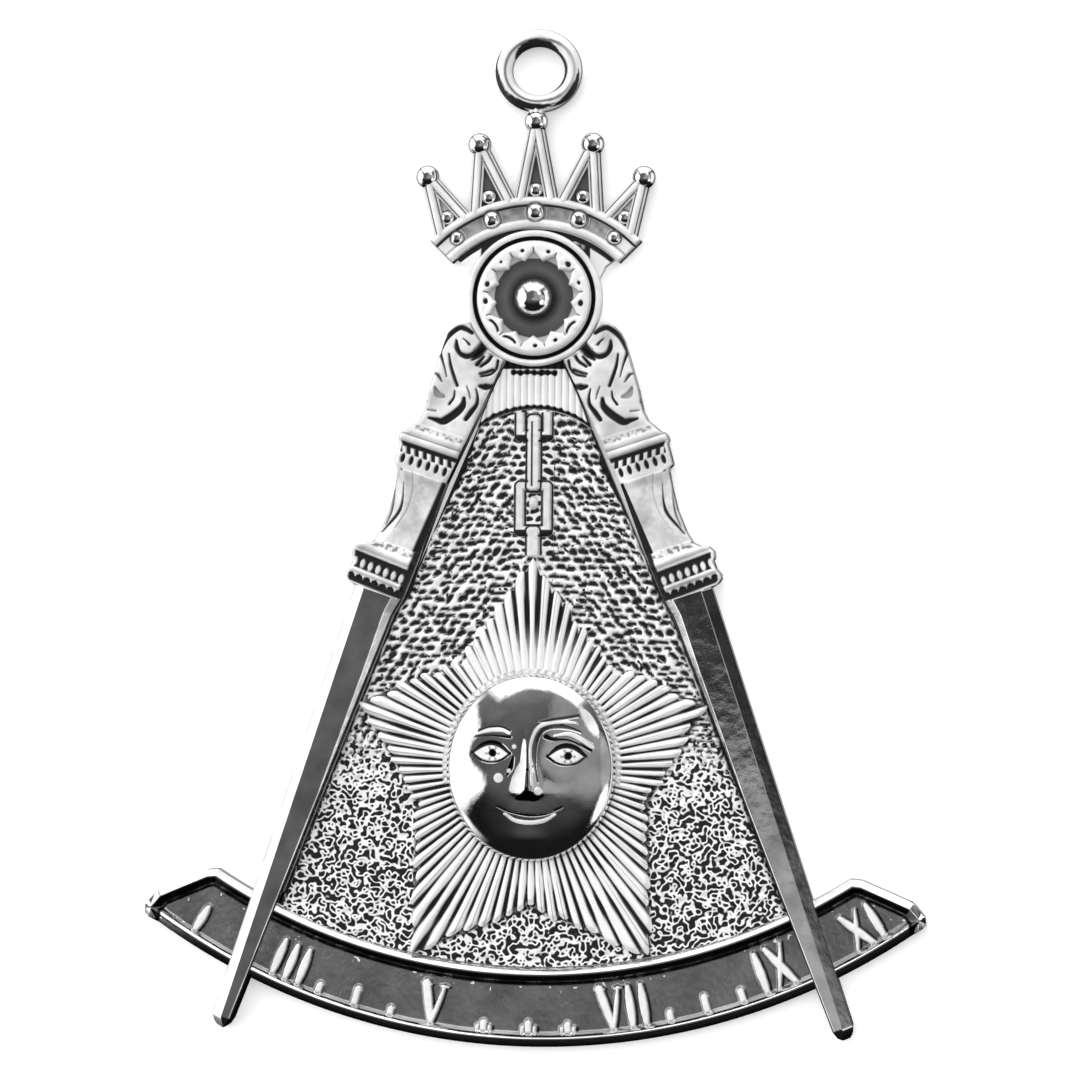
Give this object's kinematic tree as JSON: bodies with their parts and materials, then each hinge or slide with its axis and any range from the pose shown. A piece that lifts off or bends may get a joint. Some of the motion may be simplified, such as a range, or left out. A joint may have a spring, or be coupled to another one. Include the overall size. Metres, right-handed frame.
{
  "type": "masonic jewel",
  "caption": "Silver-plated collar jewel: compasses over a numbered arc, a sun in glory between the legs, and a crown with a hanging ring.",
  "frame": {"origin": "middle of the jewel's box, on the plane of its back, which is the surface it lies on", "axes": "+X to the right as the jewel is read, +Y along its middle line towards the hanging ring, +Z out of its face"},
  "size_m": [0.0704, 0.0916, 0.0056],
  "materials": {
    "arc_silver": "polished silver plate",
    "field_silver": "frosted silver plate, darkened in its hollows",
    "relief_silver": "polished silver plate",
    "glory_silver": "polished silver plate",
    "face_silver": "polished silver plate",
    "leg_silver": "polished silver plate",
    "crown_silver": "polished silver plate",
    "ring_silver": "polished silver plate"
  },
  "bodies": {
    "root": {"quadrant_arc": "arc_silver", "field_plate": "field_silver", "chain_relief": "relief_silver", "sun_glory": "glory_silver", "sun_face": "face_silver", "left_leg": "leg_silver", "right_leg": "leg_silver", "head_plate": "field_silver", "hinge_flange": "relief_silver", "scalloped_ring": "relief_silver", "hinge_ball": "relief_silver", "crown": "crown_silver", "hanging_ring": "ring_silver"}
  },
  "joints": []
}
